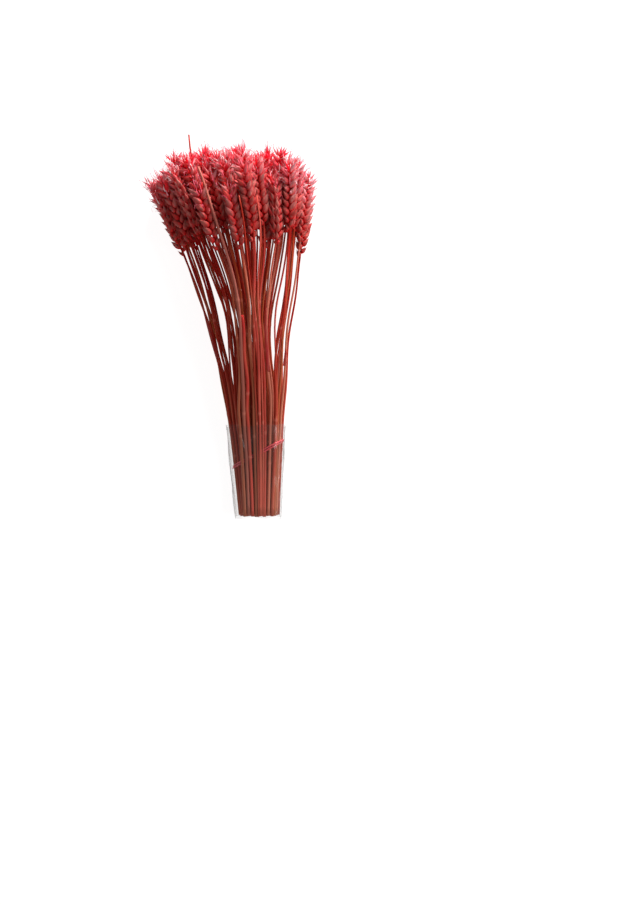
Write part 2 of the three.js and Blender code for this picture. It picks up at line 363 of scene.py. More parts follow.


# %% [markdown]
# ## Straw finish
# Dyed straw takes the colour unevenly: most straws are red-brown, some stay olive, and some are pink.
# Each straw holds one tint number for that. Fine ribs run along it, drawn by a noise that is squeezed
# around the straw and stretched along it. A picture of straw could be wrapped round it instead, but then
# all straws would be alike; the tint shifts the noise, so each has its own. The joints are paler, and their
# number is in "rise". Towards the cut end the dye has faded to brown. Just under the ear the straws are
# painted a deeper red: painted shade, where the ears above shade them.

# %% Dyed straw
STREAK_SHIFT, PATCH_SHIFT = 60, 90
RIB_RED = (0.24, 0.005, 0.003, 1)
BLOTCH_PINK = (0.72, 0.21, 0.12, 1)
CUT_BROWN = (0.52, 0.18, 0.105, 1)
# Deep red of the painted shade on the straws just under the ears.
NECK_SHADE_RED = (0.34, 0.006, 0.004, 1)
JOINT_PALE = (0.78, 0.26, 0.19, 1)

straw = Finish("dyed_straw")
tint = straw.value("tint")
streak = straw.noise(straw.skin(16, 9, straw.math("MULTIPLY", tint, STREAK_SHIFT)))
patch = straw.noise(straw.skin(2, 22, straw.math("MULTIPLY", tint, PATCH_SHIFT)))
dye = straw.ramp(
    tint,
    (0.0, (0.40, 0.008, 0.004)),
    (0.25, (0.52, 0.028, 0.016)),
    (0.42, (0.46, 0.125, 0.036)),
    (0.52, (0.46, 0.150, 0.125)),
    (0.62, (0.86, 0.350, 0.225)),
    (0.8, (0.75, 0.095, 0.075)),
    (1.0, (0.80, 0.020, 0.030)),
)
ribbed = straw.mix(straw.math("MULTIPLY", streak, 0.6), dye, RIB_RED)
blotched = straw.mix(straw.math("MULTIPLY_ADD", patch, 1.5, -0.72), ribbed, BLOTCH_PINK)
along = straw.value("along")
fade = straw.math("POWER", straw.math("SUBTRACT", 1, along), 1.5)
brown = straw.mix(straw.math("MULTIPLY", fade, 0.4), blotched, CUT_BROWN)
# Painted shade: just under the ear the straw turns deep red, as the ears above shade it.
neck = straw.math("MULTIPLY", straw.math("POWER", along, 6), 0.65)
faded = straw.mix(neck, brown, NECK_SHADE_RED)
jointed = straw.mix(straw.math("MULTIPLY", straw.value("rise"), 0.4), faded, JOINT_PALE)
straw.put(straw.shader, {"Base Color": jointed, "Roughness": 0.36, "Specular IOR Level": 0.03})
straw.bump(streak, 0.5, 0.15 * MM)
print("finish:", straw.material.name)

# %% [markdown]
# ## Husk finish
# The mesh holds how high a husk sits, on its ear and in the crown of the bunch, how far along the husk a
# point lies and how near its margin. Low husks are dark and the top ones pale, nearly white pink at the
# crown. That is partly the dye, and partly painted shade low on the ears and painted light in the crown,
# where the low lamp falls. Each ear's blush is partly how far it took the strong pink dye and partly a
# painted hot glow, the light that shines through backlit husks. A husk is crimson at its root and along its
# margins, partly where the dye gathers and partly painted red shade in the gaps between husks, and paler
# on its back, with fine nerves running to its tip. Husks are thin, so some light shines through them in
# red.

# %% Dyed husk
NERVE_SHIFT = 70
WEATHERED_PINK = (0.80, 0.31, 0.25, 1)
ROOT_CRIMSON = (0.95, 0.003, 0.005, 1)
MARGIN_CRIMSON = (0.86, 0.008, 0.024, 1)
NERVE_RED = (0.55, 0.024, 0.022, 1)
HUSK_GLOW = (1.0, 0.03, 0.07, 1)

husk = Finish("dyed_husk")
tint = husk.value("tint")
rise = husk.value("rise")
nerve = husk.noise(husk.skin(26, 2.0, husk.math("MULTIPLY", tint, NERVE_SHIFT)))
# Both ramps run dark low on the ear and pale at the crown. That is the dye's own gradient, with painted
# shade below and painted light at the crown.
dusky = husk.ramp(
    rise,
    (0.0, (0.20, 0.078, 0.064)),
    (0.4, (0.44, 0.200, 0.190)),
    (0.7, (0.80, 0.330, 0.370)),
    (1.0, (1.0, 0.66, 0.72)),
)
hot = husk.ramp(
    rise,
    (0.0, (0.52, 0.003, 0.004)),
    (0.4, (1.0, 0.010, 0.018)),
    (0.7, (1.0, 0.035, 0.110)),
    (1.0, (1.0, 0.100, 0.250)),
)
# The ear's blush turns its husks from dusky rose to hot pink: partly dye, partly the painted glow of
# backlit husks.
dye_and_glow = husk.value("dye_and_glow")
dyed = husk.mix(dye_and_glow, dusky, hot)
weathered = husk.mix(husk.math("MULTIPLY", tint, 0.3), dyed, WEATHERED_PINK)
# Crimson at the root and along the margins: partly dye, partly painted red shade where the husks overlap.
root_share = husk.math("POWER", husk.math("SUBTRACT", 1, husk.value("along")), 2.4)
rooted = husk.mix(root_share, weathered, ROOT_CRIMSON)
margin_share = husk.math("MULTIPLY", husk.math("POWER", husk.value("across"), 3), 0.55)
margined = husk.mix(margin_share, rooted, MARGIN_CRIMSON)
nerved = husk.mix(husk.math("MULTIPLY", nerve, 0.22), margined, NERVE_RED)
husk.put(husk.shader, {"Base Color": nerved, "Roughness": 0.4, "Specular IOR Level": 0.04})
husk.bump(nerve, 0.45, 0.25 * MM)
through = husk.math("MULTIPLY_ADD", dye_and_glow, 0.4, 0.13)
husk.shared(through, husk.node("BsdfTranslucent", {"Color": HUSK_GLOW}))
print("finish:", husk.material.name)

# %% [markdown]
# ## Awn finish
# Awns are thin and smooth like ribbon, so they shine more than husks. Their pale pink to nearly white
# colours, most of them in the crown, are painted highlights: the glints of the lamp on them.

# %% Dyed awn
AWN_GLOW = (1.0, 0.15, 0.18, 1)

awn = Finish("dyed_awn")
awn_colour = awn.ramp(
    awn.value("tint"),
    (0.0, (0.60, 0.040, 0.055)),
    (0.4, (1.0, 0.160, 0.260)),
    (1.0, (1.0, 0.880, 0.880)),
)
awn.put(awn.shader, {"Base Color": awn_colour, "Roughness": 0.26, "Specular IOR Level": 0.5})
awn.shared(0.2, awn.node("BsdfTranslucent", {"Color": AWN_GLOW}))
print("finish:", awn.material.name)

# %% [markdown]
# ## Straws
# A wheat straw is a hollow tube with a joint every hand's breadth. Its surface is a profile carried along
# the stalk's line: it starts inside the hollow, comes out over the cut rim, and runs up the outside,
# swelling at the joints, until it ends inside the ear as the stem that the husks sit on. Between the sleeve
# and the ear it sways a little, because no straw grows quite straight.

# %% Straw surface
STRAW_SIDES = 10
STRAW_RINGS = 34
TAIL_RINGS = 5
HOLLOW_DEPTH = 7 * MM
HOLLOW_SHARE = 0.62
JOINT_HALF = 1.8 * MM
JOINT_SWELL = 0.2
JOINT_RINGS_AT = JOINT_HALF * np.array([-1.6, -0.8, 0, 0.8, 1.6])
SWAY_MOST = 1.5 * MM
SWAYS = 1.6
BOTTOM_SEAM = -np.pi / 2
EAR_RADIUS_FROM = 3 * MM
BELOW_NECK = 0.01 * MM
STEM_FROM = 2 * MM
LEAST_STEM = 5 * MM
BARE_ALONG = 0.7


def ear_span(line):
    """Y where the ear starts and ends: from the ring below the first wide ring to the tip."""
    wide = np.flatnonzero(line.half[:, 1] > EAR_RADIUS_FROM)
    return (line.level[wide[0] - 1], line.level[-1]) if len(wide) else (line.level[-1], line.level[-1])


def smooth_step(x, low, high):
    """0 below low, 1 above high, and a smooth S between."""
    t = np.clip((x - low) / (high - low), 0, 1)
    return t * t * (3 - 2 * t)


def straw_surface(line, tint, joints, end_radius, end, sway, fullness):
    """A hollow straw. Radius: the rod's radius, plus a bell-shaped swelling of a fifth at each joint.

    Each ring is its centre + radius * (cos(turn) * right + sin(turn) * up). The centre leaves the line
    sideways by a sine wave, which dies away towards the sleeve's mouth and towards the ear. fullness is
    the share of the rod's radius that the straw has at the cut and at the neck. Above the neck it goes on
    as a thin stem to the given end and end radius.
    """
    cut, neck = line.level[0], ear_span(line)[0]
    plain = np.linspace(cut, neck, STRAW_RINGS)
    near_joints = (np.asarray(joints)[:, None] + JOINT_RINGS_AT).ravel()
    y = np.sort(np.concatenate([plain, near_joints]))
    radius = line.radius(np.minimum(y, neck - BELOW_NECK))
    swell = np.exp(-(((y[:, None] - np.asarray(joints)) / JOINT_HALF) ** 2)).sum(1)
    radius = np.interp(y, [cut, neck], fullness) * radius * (1 + JOINT_SWELL * swell)
    tail = np.linspace(neck, end, TAIL_RINGS + 1)[1:]
    y = np.concatenate([[cut + HOLLOW_DEPTH, cut], y, tail])
    hollow = np.full(2, radius[0] * HOLLOW_SHARE)
    taper = np.linspace(radius[-1], end_radius, TAIL_RINGS + 1)[1:]
    radius = np.concatenate([hollow, radius, taper])
    swell = np.concatenate([np.zeros(2), swell, np.zeros(TAIL_RINGS)])
    turn = np.linspace(0, 2 * np.pi, STRAW_SIDES, endpoint=False) + BOTTOM_SEAM
    _, right, up = line.axes(y)
    round_it = np.cos(turn)[:, None] * right[:, None] + np.sin(turn)[:, None] * up[:, None]
    share = np.clip((y - sleeve_high.y) / (neck - sleeve_high.y), 0, 1)
    wave = SWAY_MOST * np.sin(2 * np.pi * (SWAYS * share + sway)) * np.sin(np.pi * share)
    middle = line.points(y) + wave[:, None] * right
    rings = middle[:, None] + radius[:, None, None] * round_it
    points = np.concatenate([middle[:1], rings.reshape(-1, 3), middle[-1:]])
    v = np.concatenate([[0], y - cut, [y[-1] - cut]])
    each = np.concatenate([[1], np.full(len(y), STRAW_SIDES), [1]])
    eared = end > neck + LEAST_STEM
    in_ear = np.concatenate([[False], y > neck + STEM_FROM, [True]]) & eared
    way = np.clip((y - cut) / (neck - cut), 0, 1) * (1.0 if eared else BARE_ALONG)
    flat = np.ones(len(points))
    return {
        "points": points,
        "material": straw.material,
        "values": {
            "tint": np.repeat(np.where(in_ear, 1.0, tint), each),
            "rise": np.repeat(np.concatenate([[0], swell, [0]]), each),
            "along": np.repeat(np.concatenate([[0], way, [1]]), each),
            "across": 0 * flat,
            "dye_and_glow": 0 * flat,
        },
        **tube_faces(1, len(y), STRAW_SIDES, v),
    }


# %% [markdown]
# ## Husks
# A husk is a pointed boat: narrow at its root, widest below the middle, drawn out into a short awn. Its
# cross-section is a six-sided lens with a keel on its back and a flatter belly. One husk could be modelled
# and copied, but here each has its own size, bend and awn. All husks of an ear are worked out together, as
# arrays with one row a husk, because an ear has about eighty of them.

# %% Husk surfaces
HUSK_SIDES = 6
HUSK_AT = np.array([0.04, 0.18, 0.40, 0.64, 0.86, 1.0])
HUSK_SWELL = np.array([0.50, 0.90, 1.0, 0.78, 0.36, 0.10])
BELLY_SHARE = 0.4
KEEL_POWER = 1.3
AWN_RADIUS = 0.3 * MM
AWN_V = [1.2, 1.4]
LOWEST = 0.2 * MM


def husk_surfaces(h):
    """Closed husks from arrays of root, axis, out, length, width, depth, bend, awn and curl.

    A ring's centre is root + axis * length * u + out * length * bend * u squared. Its points lie at
    half width * cos(turn) to the side and depth * sin(turn) outwards, the belly flatter than the back.
    The awn goes on from the tip, and curls by the square of the way along it.
    """
    side = np.cross(h["axis"], h["out"])
    size = h["length"][:, None, None]
    u = HUSK_AT[None, :, None]
    out, axis = h["out"][:, None], h["axis"][:, None]
    centre = h["root"][:, None] + size * (u * axis + h["bend"][:, None, None] * u**2 * out)
    heading = unit(axis[:, 0] + 2 * h["bend"][:, None] * h["out"])
    awn = h["awn"][:, None]
    half_way = centre[:, -1] + awn * (0.5 * heading + 0.25 * h["curl"][:, None] * h["out"])
    tip = centre[:, -1] + awn * (heading + h["curl"][:, None] * h["out"])
    centre = np.concatenate([centre, half_way[:, None]], axis=1)
    fine = np.full((len(size), 1), AWN_RADIUS)
    wide = np.concatenate([h["width"][:, None] / 2 * HUSK_SWELL, fine], axis=1)
    deep = np.concatenate([h["depth"][:, None] * HUSK_SWELL, fine], axis=1)
    wide[:, -2] = np.maximum(wide[:, -2], AWN_RADIUS)
    turn = 2 * np.pi * np.arange(HUSK_SIDES) / HUSK_SIDES + np.pi / 2
    back = np.abs(np.sin(turn)) ** KEEL_POWER
    rise = np.where(np.sin(turn) > 0, back, -BELLY_SHARE * back)
    rings = (
        centre[:, :, None]
        + (wide[:, :, None] * np.cos(turn))[..., None] * side[:, None, None]
        + (deep[:, :, None] * rise)[..., None] * out[:, :, None]
    )
    count = len(centre)
    points = np.concatenate([h["root"][:, None], rings.reshape(count, -1, 3), tip[:, None]], axis=1)
    along = np.concatenate([[0], np.repeat(np.append(HUSK_AT, 1.0), HUSK_SIDES), [1.0]])
    across = np.concatenate([[0], np.tile(np.abs(np.cos(turn)), len(HUSK_AT) + 1), [0]])
    points[..., 2] = np.maximum(points[..., 2], LOWEST)
    each = points.shape[1]
    return {
        "points": points.reshape(-1, 3),
        "material": husk.material,
        "values": {
            "tint": np.repeat(h["tint"], each),
            "rise": np.repeat(h["rise"], each),
            "along": np.tile(along, count),
            "across": np.tile(across, count),
            "dye_and_glow": np.repeat(h["dye_and_glow"], each),
        },
        **tube_faces(count, len(HUSK_AT) + 1, HUSK_SIDES, np.concatenate([[0], HUSK_AT, AWN_V])),
    }


# %% [markdown]
# ## Ears
# The husks sit in spikelets, which alternate left and right up the ear. A spikelet has two outer husks,
# two grain husks that part to the front and to the back, and one more between them. Seen from its narrow
# side such an ear looks plaited, with two columns of plump husks, and that is the side most ears show here.
# The tables below place the husks of a spikelet, and of the last one, which stands on the ear's top.

# %% Spikelets of an ear
SPIKELET_PITCH = 5.0 * MM
CROWN_DEPTH = 90 * MM
CROWN_FULL = 20 * MM
CROWN_DROP = 36 * MM
CROWN_SIDES = (0.55, 0.95)
# Root: along, out, across in mm. Heading: out, across for one along. Length, width, depth in mm. Bend.
SPIKELET = np.array([
    [0.0, 1.4, 2.2, 0.56, 0.36, 8.4, 5.2, 2.2, 0.04],
    [0.0, 1.4, -2.2, 0.56, -0.36, 8.4, 5.2, 2.2, 0.04],
    [0.4, 0.7, 1.5, 0.58, 0.22, 12.4, 7.0, 3.2, 0.02],
    [0.4, 0.7, -1.5, 0.58, -0.22, 12.4, 7.0, 3.2, 0.02],
    [2.2, 1.6, 0.0, 0.72, 0.0, 11.0, 5.2, 3.2, 0.02],
])
TOP_SPIKELET = np.array([
    [0.0, 0.0, 1.0, 0.0, 0.30, 11.5, 4.6, 2.6, 0.02],
    [0.0, 0.0, -1.0, 0.0, -0.30, 11.5, 4.6, 2.6, 0.02],
    [1.0, 0.8, 0.0, 0.30, 0.0, 11.5, 4.2, 2.6, 0.02],
    [1.0, -0.8, 0.0, -0.30, 0.0, 11.5, 4.2, 2.6, 0.02],
])


def ear_axes(line, share, roll, twist):
    """Points of the ear's stem at shares of its length, with the ways along it, out and to its face.

    Out and face are the line's right and up, turned about the stem by the roll and, up the ear, the twist.
    """
    start, end = ear_span(line)
    y = start + share * (end - start)
    along, right, up = line.axes(y)
    turned = (roll + twist * (share - 0.5))[:, None]
    out = np.cos(turned) * right + np.sin(turned) * up
    face = np.cos(turned) * up - np.sin(turned) * right
    return line.points(y), along, out, face


def sunlit(points):
    """0 to 1: how far points lie in the crown of the bunch, which the low lamp lights most; the colours
    read it as painted light. The crown is lower at both sides.
    """
    crown = cad_high.y - CROWN_DROP * smooth_step(np.abs(points[:, 0]) / cad_high.x, *CROWN_SIDES)
    return smooth_step(points[:, 1], crown - CROWN_DEPTH, crown - CROWN_FULL)


# %% Husks of an ear
FIRST_AT, LAST_AT, TOP_AT = 0.015, 0.86, 0.89
FOOT_SIZE, TOP_SHRINK = 0.62, 0.16
TOP_SPREAD, TOP_LONGER, TOP_SLIMMER = 0.35, 0.22, 0.3
HUSK_WOBBLE, TOP_WOBBLE = 0.09, 1.4
SHORTEST_AWN, TOP_AWN = 1.4 * MM, 8 * MM


def ear_husks(line, roll, twist, dye_and_glow, plump, pitch, rng):
    """All husks of one ear, as arrays. Spikelet after spikelet sits on the left and on the right.

    A husk's root and heading are those of its table row, in the axes along, out and face at its spikelet.
    Its size grows from the ear's foot and falls again at the top, times plump. Towards the top the husks
    get longer and slimmer, spread more, and end in longer awns.
    """
    start, end = ear_span(line)
    count = round((end - start) / pitch)
    share = np.concatenate([np.linspace(FIRST_AT, LAST_AT, count), [TOP_AT]])
    side = np.where(np.arange(count + 1) % 2, 1.0, -1.0)
    grown, shrunk = smooth_step(share, 0, 0.2), smooth_step(share, 0.7, 1)
    size = FOOT_SIZE + (1 - FOOT_SIZE) * grown - TOP_SHRINK * shrunk
    stem, along, out, face = ear_axes(line, share, roll, twist)
    rows = np.concatenate([np.tile(SPIKELET, (count, 1)), TOP_SPIKELET])
    which = np.concatenate([np.repeat(np.arange(count), len(SPIKELET)), np.full(len(TOP_SPIKELET), count)])
    place, heading = rows[:, :3], rows[:, 3:5]
    length, width, depth, bend = rows[:, 5:].T
    scale = plump * size[which]
    top = smooth_step(share[which], 0.5, 1.0)
    toward = np.column_stack([np.ones(len(rows)), heading])
    toward[:, 1:] *= plump * (1 + TOP_SPREAD * top[:, None])
    toward += rng.normal(0, HUSK_WOBBLE, toward.shape) * (1 + TOP_WOBBLE * top[:, None])
    frame_of = np.stack([along[which], side[which, None] * out[which], face[which]], axis=1)
    root = stem[which] + np.einsum("ni,nij->nj", place * MM * scale[:, None], frame_of)
    axis = unit(np.einsum("ni,nij->nj", toward, frame_of))
    outwards = np.where(place[:, 2] == 0, 1.0, 0.5) * np.where(heading[:, 0] < 0, -1, 1)
    away = np.column_stack([np.zeros(len(rows)), outwards, np.sign(place[:, 2])])
    away = np.einsum("ni,nij->nj", away, frame_of)
    outward = unit(away - (away * axis).sum(1, keepdims=True) * axis)
    jitter = rng.normal(1, HUSK_WOBBLE, len(rows))
    return {
        "root": root,
        "axis": axis,
        "out": outward,
        "length": length * MM * scale * jitter * (1 + TOP_LONGER * top),
        "width": width * MM * scale * jitter * (1 - TOP_SLIMMER * top),
        "depth": depth * MM * scale * (1 - TOP_SLIMMER * top),
        "bend": bend + 0.12 * top * rng.normal(0.6, 1, len(rows)),
        "awn": SHORTEST_AWN + TOP_AWN * top * rng.random(len(rows)) ** 1.5,
        "curl": rng.normal(0.15, 0.4, len(rows)),
        "tint": rng.random(len(rows)),
        # The rise is the husk's share up its ear and its place in the crown; the crown part is painted
        # light.
        "rise": np.clip(0.4 * share[which] + 0.6 * sunlit(root) + rng.normal(0, 0.06, len(rows)), 0, 1),
        "dye_and_glow": np.clip(dye_and_glow + rng.normal(0, 0.22 + 0.2 * top), 0, 1),
    }


# %% [markdown]
# ## Loose awns
# Towards the top of an ear, thin awns have come loose from the husks and curled as they dried. Each one is
# a flat ribbon along an arc of a circle, and the tighter arcs give the curls that catch the light. Hair
# strands could draw them as well, but ribbons are plain meshes, which every program can read.

# %% Awns of an ear
AWN_SIDES = 4
AWN_AT = np.array([0.02, 0.25, 0.5, 0.75, 0.95])
AWN_WIDTH = 0.85 * MM
AWN_THICKNESS = 0.3 * MM
AWN_TAPER = 0.75
AWNS = 24
AWNS_FROM, AWNS_OVER = 0.5, 0.48
AWN_LEAN = (0.3, 1.0)
AWN_LENGTH = (7 * MM, 17 * MM)
AWN_TURN = (0.5, 3.2)
AWN_OUT = 4 * MM


def awn_surfaces(line, rng):
    """Ribbons along arcs: root + length * (sin(turn) * axis + (1 - cos(turn)) * bow) / whole turn.

    The axis leans out of the ear, and the bow is the way out, square to the axis.
    """
    share = np.sort(AWNS_FROM + AWNS_OVER * rng.random(AWNS) ** 0.6)
    stem, along, _, _ = ear_axes(line, share, 0, 0)
    around = rng.uniform(0, 2 * np.pi, AWNS)[:, None]
    _, right, up = line.axes(stem[:, 1])
    out = np.cos(around) * right + np.sin(around) * up
    axis = unit(along + rng.uniform(*AWN_LEAN, (AWNS, 1)) * out)
    bow = unit(out - (out * axis).sum(1, keepdims=True) * axis)
    length = rng.uniform(*AWN_LENGTH, AWNS)[:, None, None]
    whole = (rng.choice([-1, 1], AWNS) * rng.uniform(*AWN_TURN, AWNS))[:, None, None]
    turn = whole * np.append(AWN_AT, 1.0)[None, :, None]
    root = stem + AWN_OUT * (1 + rng.random((AWNS, 1))) * out
    arc = np.sin(turn) * axis[:, None] + (1 - np.cos(turn)) * bow[:, None]
    centre = root[:, None] + length * arc / whole
    side = np.cross(axis, bow)[:, None, None]
    inward = (np.cos(turn) * bow[:, None] - np.sin(turn) * axis[:, None])[:, :-1, None]
    edge = np.array([1, 0, -1, 0])[None, None, :, None]
    flat = np.array([0, 1, 0, -1])[None, None, :, None]
    taper = (1 - AWN_TAPER * AWN_AT)[None, :, None, None]
    rings = centre[:, :-1, None] + taper * (AWN_WIDTH * edge * side + AWN_THICKNESS * flat * inward)
    points = np.concatenate([root[:, None], rings.reshape(AWNS, -1, 3), centre[:, -1:]], axis=1)
    points[..., 2] = np.maximum(points[..., 2], LOWEST)
    each = points.shape[1]
    ones = np.ones(AWNS * each)
    return {
        "points": points.reshape(-1, 3),
        "material": awn.material,
        "values": {
            # Paler towards the crown: painted highlight where the lamp catches the awns.
            "tint": np.repeat(np.clip(rng.random(AWNS) * (0.3 + 1.2 * sunlit(stem)), 0, 1), each),
            "rise": ones,
            "along": ones,
            "across": 0 * ones,
            "dye_and_glow": 0 * ones,
        },
        **tube_faces(AWNS, len(AWN_AT), AWN_SIDES, np.concatenate([[0], AWN_AT, [1]])),
    }


# %% [markdown]
# ## Every stalk
# A stalk is grown as one piece: straw, husks and awns. The ears in the middle of the lower layers are hot
# pink, partly from more of the strong dye and partly a painted glow of backlit husks, between the dusky
# ones on top. So an ear's blush falls with its height above the table, and towards both sides. The ears on
# top are the plumpest. The straws' tints go from dark to pale, and the right-hand side of the bunch, where
# the lamp falls, has more of the pale ones: painted light.

# %% A whole stalk
MOST_ROLL = np.radians(35)
TWIST_SPREAD = 0.25
JOINTS_FROM, JOINTS_TO = [0.18, 0.55], [0.4, 0.8]
STEM_SHARE, STEM_RADIUS = 0.9, 0.5 * MM
STRAW_TINTS = [0.0, 0.08, 0.16, 0.38, 0.42, 0.6, 0.82]
TINT_SPREAD = (-0.05, 0.08)
# SUNNY_SIDE paints light: the lit right-hand side of the bunch gets more of the pale straw tints.
SUNNY_SIDE, LAST_PICK = 0.25, 0.99
BLUSH_LOW, BLUSH_HIGH, BLUSH_SPREAD = 0.95, 0.04, 0.12
BLUSH_FALLS_UPWARDS, BLUSH_FALLS_SIDEWAYS = (0.4, 0.8), (0.55, 0.9)
PLUMP_FRONT = 0.08
PLUMP_FROM_HEIGHT, PLUMP_TO_SIDE = (0.6, 0.8), (0.5, 0.8)


def grown_stalk(line, seed, broadside, pitch, fullness):
    """The surfaces of a whole stalk along a line, with everything that varies drawn from the seed."""
    rng = np.random.default_rng(seed)
    start, end = ear_span(line)
    roll = rng.uniform(-1, 1) * MOST_ROLL + broadside * np.pi / 2
    joints = line.level[0] + (start - line.level[0]) * rng.uniform(JOINTS_FROM, JOINTS_TO)
    sideways = line.middle[-1, 0] / cad_high.x
    # Painted light: straws further right, where the lamp falls, pick the paler tints more often.
    pick = np.clip(rng.random() + SUNNY_SIDE * sideways, 0, LAST_PICK)
    tint = STRAW_TINTS[int(pick * len(STRAW_TINTS))] + rng.uniform(*TINT_SPREAD)
    stem_end = start + STEM_SHARE * (end - start)
    stem = straw_surface(line, tint, joints, STEM_RADIUS, stem_end, rng.random(), fullness)
    # The blush is partly dye and partly painted glow of backlit husks, strongest low in the bunch and in
    # its middle.
    height = line.middle[-1, 1] / cad_high.z
    upwards = smooth_step(height, *BLUSH_FALLS_UPWARDS)
    outer = max(upwards, smooth_step(abs(sideways), *BLUSH_FALLS_SIDEWAYS))
    dye_and_glow = BLUSH_LOW + (BLUSH_HIGH - BLUSH_LOW) * outer + rng.normal(0, BLUSH_SPREAD)
    inside = 1 - smooth_step(abs(sideways), *PLUMP_TO_SIDE)
    plump = 1 + PLUMP_FRONT * smooth_step(height, *PLUMP_FROM_HEIGHT) * inside
    husks = husk_surfaces(ear_husks(line, roll, rng.normal(0, TWIST_SPREAD), dye_and_glow, plump, pitch, rng))
    return [stem, husks, awn_surfaces(line, rng)]


# %% Grow every stalk
BROADSIDE_EVERY, BROADSIDE_FIRST = 6, 3
STRAW_FULLNESS = (1.12, 0.85)


def triangle_count(surfaces):
    """Two triangles for every quad, and the end triangles."""
    return sum(2 * len(s["quads"]) + len(s["triangles"]) for s in surfaces)


triangles = 0
for number, name in enumerate(EARED):
    broadside = number % BROADSIDE_EVERY == BROADSIDE_FIRST
    surfaces = grown_stalk(lines[name], number + 1, broadside, SPIKELET_PITCH, STRAW_FULLNESS)
    new_piece(name + "_grown", surfaces, "dyed_wheat", name)
    triangles += triangle_count(surfaces)
print("stalks:", len(EARED), "with", triangles, "triangles")

# %% [markdown]
# ## Stalks between the layers
# A real bunch holds more stalks than the frame has rods for. The others lie in the hollows between the
# layers, where three neighbours leave room for one more: two side by side in a layer, and the nearest one
# in the layer above. Each one's line is a weighted mean of those three lines. The weights are even at the
# ear and uneven at the cut, and they change along the way, so these slim straws cross their neighbours.

# %% Grow the stalks between
INNER_PITCH = 6.2 * MM
INNER_FULLNESS = (0.4, 0.9)
INNER_SEED = 200
INNER_LAYERS = 4
INNER_BROADSIDE_EVERY = 3
WEIGHT_SPREAD = [0.5, 0.5, 0.5]


def line_between(three, uneven):
    """The mean of three lines, section by section: uneven weights at the cut, even ones at the ear."""
    count = len(three[0].level)
    even = np.linspace(0, 1, count)[:, None] ** 2
    weight = (1 - even) * uneven + even / 3
    level = np.einsum("nk,kn->n", weight, [m.level for m in three])
    middle = np.einsum("nk,kni->ni", weight, [m.middle for m in three])
    half = np.einsum("nk,kni->ni", weight, [m.half for m in three])
    return Line(level, middle, half)


foot = np.array([lines[name].middle[0, 0] for name in EARED])
layer_of = np.cumsum(np.diff(foot, prepend=foot[0]) < 0)
inner = 0
for layer in range(INNER_LAYERS):
    below = np.flatnonzero(layer_of == layer)
    above = np.flatnonzero(layer_of == layer + 1)
    surfaces = []
    for left, right in zip(below[:-1], below[1:]):
        nearest = above[np.argmin(np.abs(foot[above] - (foot[left] + foot[right]) / 2))]
        inner += 1
        uneven = np.random.default_rng(INNER_SEED + inner).dirichlet(WEIGHT_SPREAD)
        line = line_between([lines[EARED[i]] for i in (left, right, nearest)], uneven)
        broadside = inner % INNER_BROADSIDE_EVERY == 0
        surfaces += grown_stalk(line, INNER_SEED + inner, broadside, INNER_PITCH, INNER_FULLNESS)
    new_piece(f"inner_stalks_{layer + 1}", surfaces, "dyed_wheat")
    print("inner stalks", layer + 1, "with", triangle_count(surfaces), "triangles")

# %% [markdown]
# ## Bare straws
# Three straws have no ear. They are the same hollow tube, ended square at the top. The second one lies on
# the ears, and their husks lift its upper end.

# %% Bare straws
BARE_TINT = {"bare_straw_1": 0.22, "bare_straw_2": 0.52, "stub_straw": 0.93}
BARE_FULLNESS = {"bare_straw_1": (1.1, 0.9), "bare_straw_2": (1.1, 1.3), "stub_straw": (1.1, 1.3)}
BARE_LIFT = {"bare_straw_1": 0, "bare_straw_2": 4 * MM, "stub_straw": 0}
BARE_JOINTS = np.array([0.3, 0.62])
END_SHARE, END_LID = 0.6, 0.2 * MM
for number, name in enumerate(BARE):
    level, middle, half = lines[name].level, lines[name].middle, lines[name].half
    lift = BARE_LIFT[name] * smooth_step(level, level[0], level[-1])
    line = Line(level, middle + np.column_stack([0 * lift, lift]), half)
    joints = line.level[0] + (line.level[-1] - line.level[0]) * BARE_JOINTS
    top = line.level[-1] + END_LID
    sway, fullness = number / len(BARE), BARE_FULLNESS[name]
    tube = straw_surface(line, BARE_TINT[name], joints, END_SHARE * line.half[-1, 1], top, sway, fullness)
    new_piece(name + "_tube", [tube], "bare_straw", name)
print("bare straws:", BARE)

# %% [markdown]
# ## Slim straws
# Two slim straws without ears lie in the valleys between the topmost ears. Each one's line is a weighted
# mean of its neighbours' lines, lifted until it clears their husks, and it ends half-way up the ears.

# %% Slim straws
SLIM_HALF = 1.0 * MM
SLIM_POINTS = 24
SLIM_JOINTS = np.array([0.3, 0.6])
SLIM_FULLNESS = (1, 1)
SLIM_LIFT = (2 * MM, 8 * MM)
SLIM_BELOW_CROWN = 84 * MM
# Two neighbours, the first one's weight, and the tint.
SLIM_BETWEEN = [
    ("wheat_stalk_50", "wheat_stalk_46", 0.7, 0.8),
    ("wheat_stalk_49", "wheat_stalk_50", 0.5, 0.0),
]
slim = []
for one, other, weight, tint in SLIM_BETWEEN:
    y = np.linspace(lines[one].level[0], cad_high.y - SLIM_BELOW_CROWN, SLIM_POINTS)
    middle = weight * lines[one].points(y) + (1 - weight) * lines[other].points(y)
    middle[:, 2] += np.interp(smooth_step(y, sleeve_high.y, y[-1]), [0, 1], SLIM_LIFT)
    line = Line(y, middle[:, [0, 2]], np.full((len(y), 2), SLIM_HALF))
    joints = y[0] + (y[-1] - y[0]) * SLIM_JOINTS
    top = y[-1] + END_LID
    slim.append(straw_surface(line, tint, joints, END_SHARE * SLIM_HALF, top, weight, SLIM_FULLNESS))
new_piece("slim_straws", slim, "bare_straw")
print("slim straws:", len(slim))

